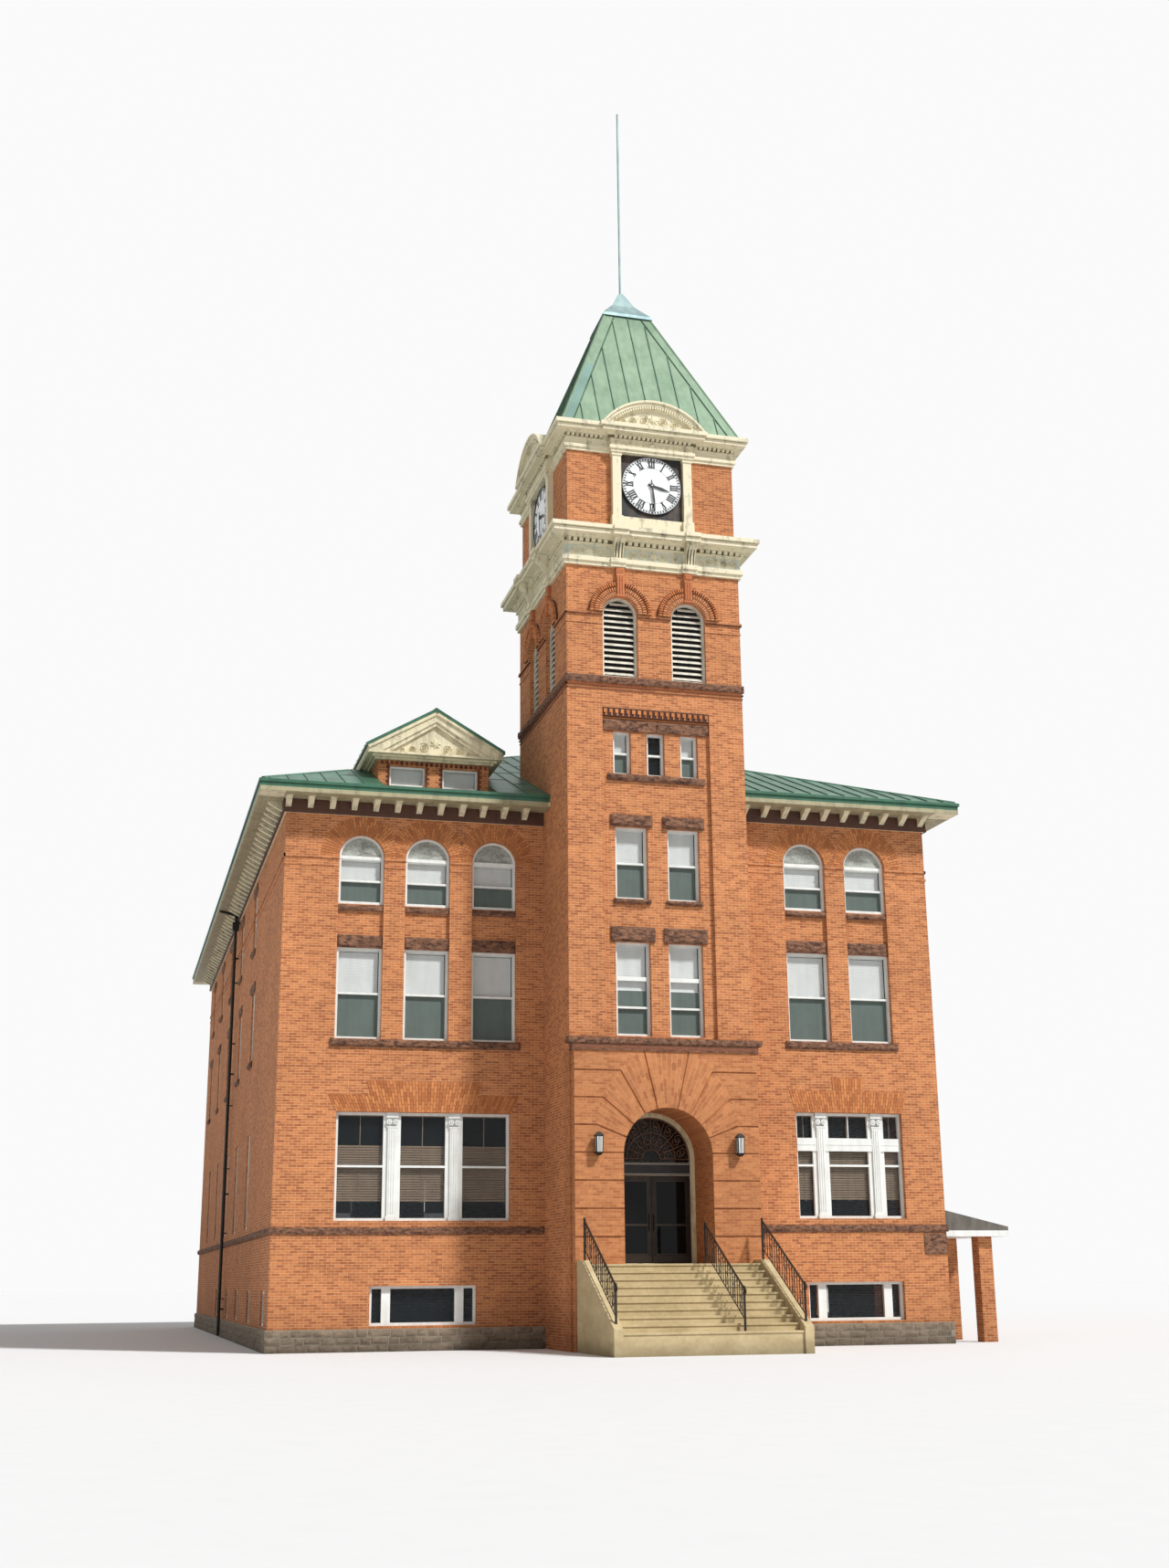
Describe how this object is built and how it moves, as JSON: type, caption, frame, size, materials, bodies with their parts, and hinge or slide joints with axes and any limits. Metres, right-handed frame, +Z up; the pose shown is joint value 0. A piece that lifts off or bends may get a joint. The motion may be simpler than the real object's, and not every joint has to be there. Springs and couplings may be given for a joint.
{
  "type": "opera house",
  "caption": "Brick opera house with a clock tower over an arched entrance, stone trim, bracketed eaves, hipped metal roofs and steps up to double doors.",
  "frame": {"origin": "on the tower's axis at the lowest ground level, on the underside of the basement floor", "axes": "+Z up, +X to the right along the street front, +Y into the building"},
  "size_m": [20.595, 38.175, 37.41],
  "materials": {
    "brick": "fired clay brick",
    "rubble_stone": "rough",
    "brownstone": "rock-faced sandstone",
    "concrete": "cast concrete",
    "timber_floor": "boards on joists",
    "wrought_iron": "black paint",
    "bronze_door": "dark bronze",
    "cream_paint": "oil paint",
    "cream_metal": "pressed metal, weathered paint",
    "louver_paint": "oil paint",
    "white_frame": "enamel",
    "window_glass": "clear",
    "dark_panel": "matt",
    "dial_white": "enamel",
    "hand_black": "matt",
    "verdigris_roof": "standing seam",
    "roof_cap": "weathered",
    "green_roof": "standing seam",
    "shingle": "mineral shingle",
    "downspout_black": "black"
  },
  "bodies": {
    "building": {"attic_floor": "timber_floor", "basement_floor": "concrete", "belfry_arches": "brick", "belfry_louvers": "louver_paint", "clock_dials": "dial_white", "clock_pilasters": "cream_paint", "clock_stage_walls": "brick", "clock_surrounds": "dark_panel", "door_frame": "cream_paint", "dormer_pediment": "cream_paint", "dormer_roof": "green_roof", "dormer_walls": "brick", "downspout": "downspout_black", "eave_brackets": "cream_paint", "foundation_walls": "rubble_stone", "front_steps": "concrete", "front_wall_left": "brick", "front_wall_right": "brick", "ground_floor": "timber_floor", "lower_cornice": "cream_metal", "main_cornice": "cream_paint", "main_roof": "green_roof", "porch_piers": "brick", "porch_roof": "shingle", "portal_arch": "brick", "portal_jambs": "brick", "portal_lanterns": "wrought_iron", "rear_wall": "brick", "roof_cap": "roof_cap", "second_floor": "timber_floor", "side_door": "bronze_door", "side_wall_left": "brick", "side_wall_right": "brick", "stair_cheek_walls": "concrete", "stair_railings": "wrought_iron", "stone_trim": "brownstone", "third_floor": "timber_floor", "tower_front_wall": "brick", "tower_left_wall": "brick", "tower_rear_wall": "brick", "tower_right_wall": "brick", "tower_roof": "verdigris_roof", "tower_window_frames": "white_frame", "upper_cornice": "cream_metal", "water_table": "brownstone", "window_glass": "window_glass", "wing_window_frames": "white_frame"},
    "hour_hand_front": {"hour_hand_front": "hand_black"},
    "hour_hand_left": {"hour_hand_left": "hand_black"},
    "hour_hand_rear": {"hour_hand_rear": "hand_black"},
    "hour_hand_right": {"hour_hand_right": "hand_black"},
    "minute_hand_front": {"minute_hand_front": "hand_black"},
    "minute_hand_left": {"minute_hand_left": "hand_black"},
    "minute_hand_rear": {"minute_hand_rear": "hand_black"},
    "minute_hand_right": {"minute_hand_right": "hand_black"},
    "door_left": {"door_left": "bronze_door"},
    "door_right": {"door_right": "bronze_door"}
  },
  "joints": [
    {"name": "door_left_hinge", "type": "hinge", "parent": "building", "child": "door_left", "pos_m": [-1.014, -1.53, 2.1], "axis": [0, 0, -1], "range_deg": [0, 90]},
    {"name": "door_right_hinge", "type": "hinge", "parent": "building", "child": "door_right", "pos_m": [1.014, -1.53, 2.1], "axis": [0, 0, 1], "range_deg": [0, 90]},
    {"name": "minute_front", "type": "hinge", "parent": "building", "child": "minute_hand_front", "pos_m": [0, -2.74, 23.24], "axis": [0, 1, 0], "continuous": true},
    {"name": "hour_front", "type": "hinge", "parent": "building", "child": "hour_hand_front", "pos_m": [0, -2.74, 23.24], "axis": [0, 1, 0], "continuous": true},
    {"name": "minute_left", "type": "hinge", "parent": "building", "child": "minute_hand_left", "pos_m": [-2.44, 0, 23.24], "axis": [1, 0, 0], "continuous": true},
    {"name": "hour_left", "type": "hinge", "parent": "building", "child": "hour_hand_left", "pos_m": [-2.44, 0, 23.24], "axis": [1, 0, 0], "continuous": true},
    {"name": "minute_right", "type": "hinge", "parent": "building", "child": "minute_hand_right", "pos_m": [2.44, 0, 23.24], "axis": [-1, 0, 0], "continuous": true},
    {"name": "hour_right", "type": "hinge", "parent": "building", "child": "hour_hand_right", "pos_m": [2.44, 0, 23.24], "axis": [-1, 0, 0], "continuous": true},
    {"name": "minute_rear", "type": "hinge", "parent": "building", "child": "minute_hand_rear", "pos_m": [0, 2.74, 23.24], "axis": [0, -1, 0], "continuous": true},
    {"name": "hour_rear", "type": "hinge", "parent": "building", "child": "hour_hand_rear", "pos_m": [0, 2.74, 23.24], "axis": [0, -1, 0], "continuous": true}
  ],
  "couplings": [
    {"joint": "hour_front", "follows": "minute_front", "ratio": 0.083333},
    {"joint": "minute_left", "follows": "minute_front", "ratio": 1},
    {"joint": "hour_left", "follows": "minute_front", "ratio": 0.083333},
    {"joint": "minute_right", "follows": "minute_front", "ratio": 1},
    {"joint": "hour_right", "follows": "minute_front", "ratio": 0.083333},
    {"joint": "minute_rear", "follows": "minute_front", "ratio": 1},
    {"joint": "hour_rear", "follows": "minute_front", "ratio": 0.083333}
  ]
}
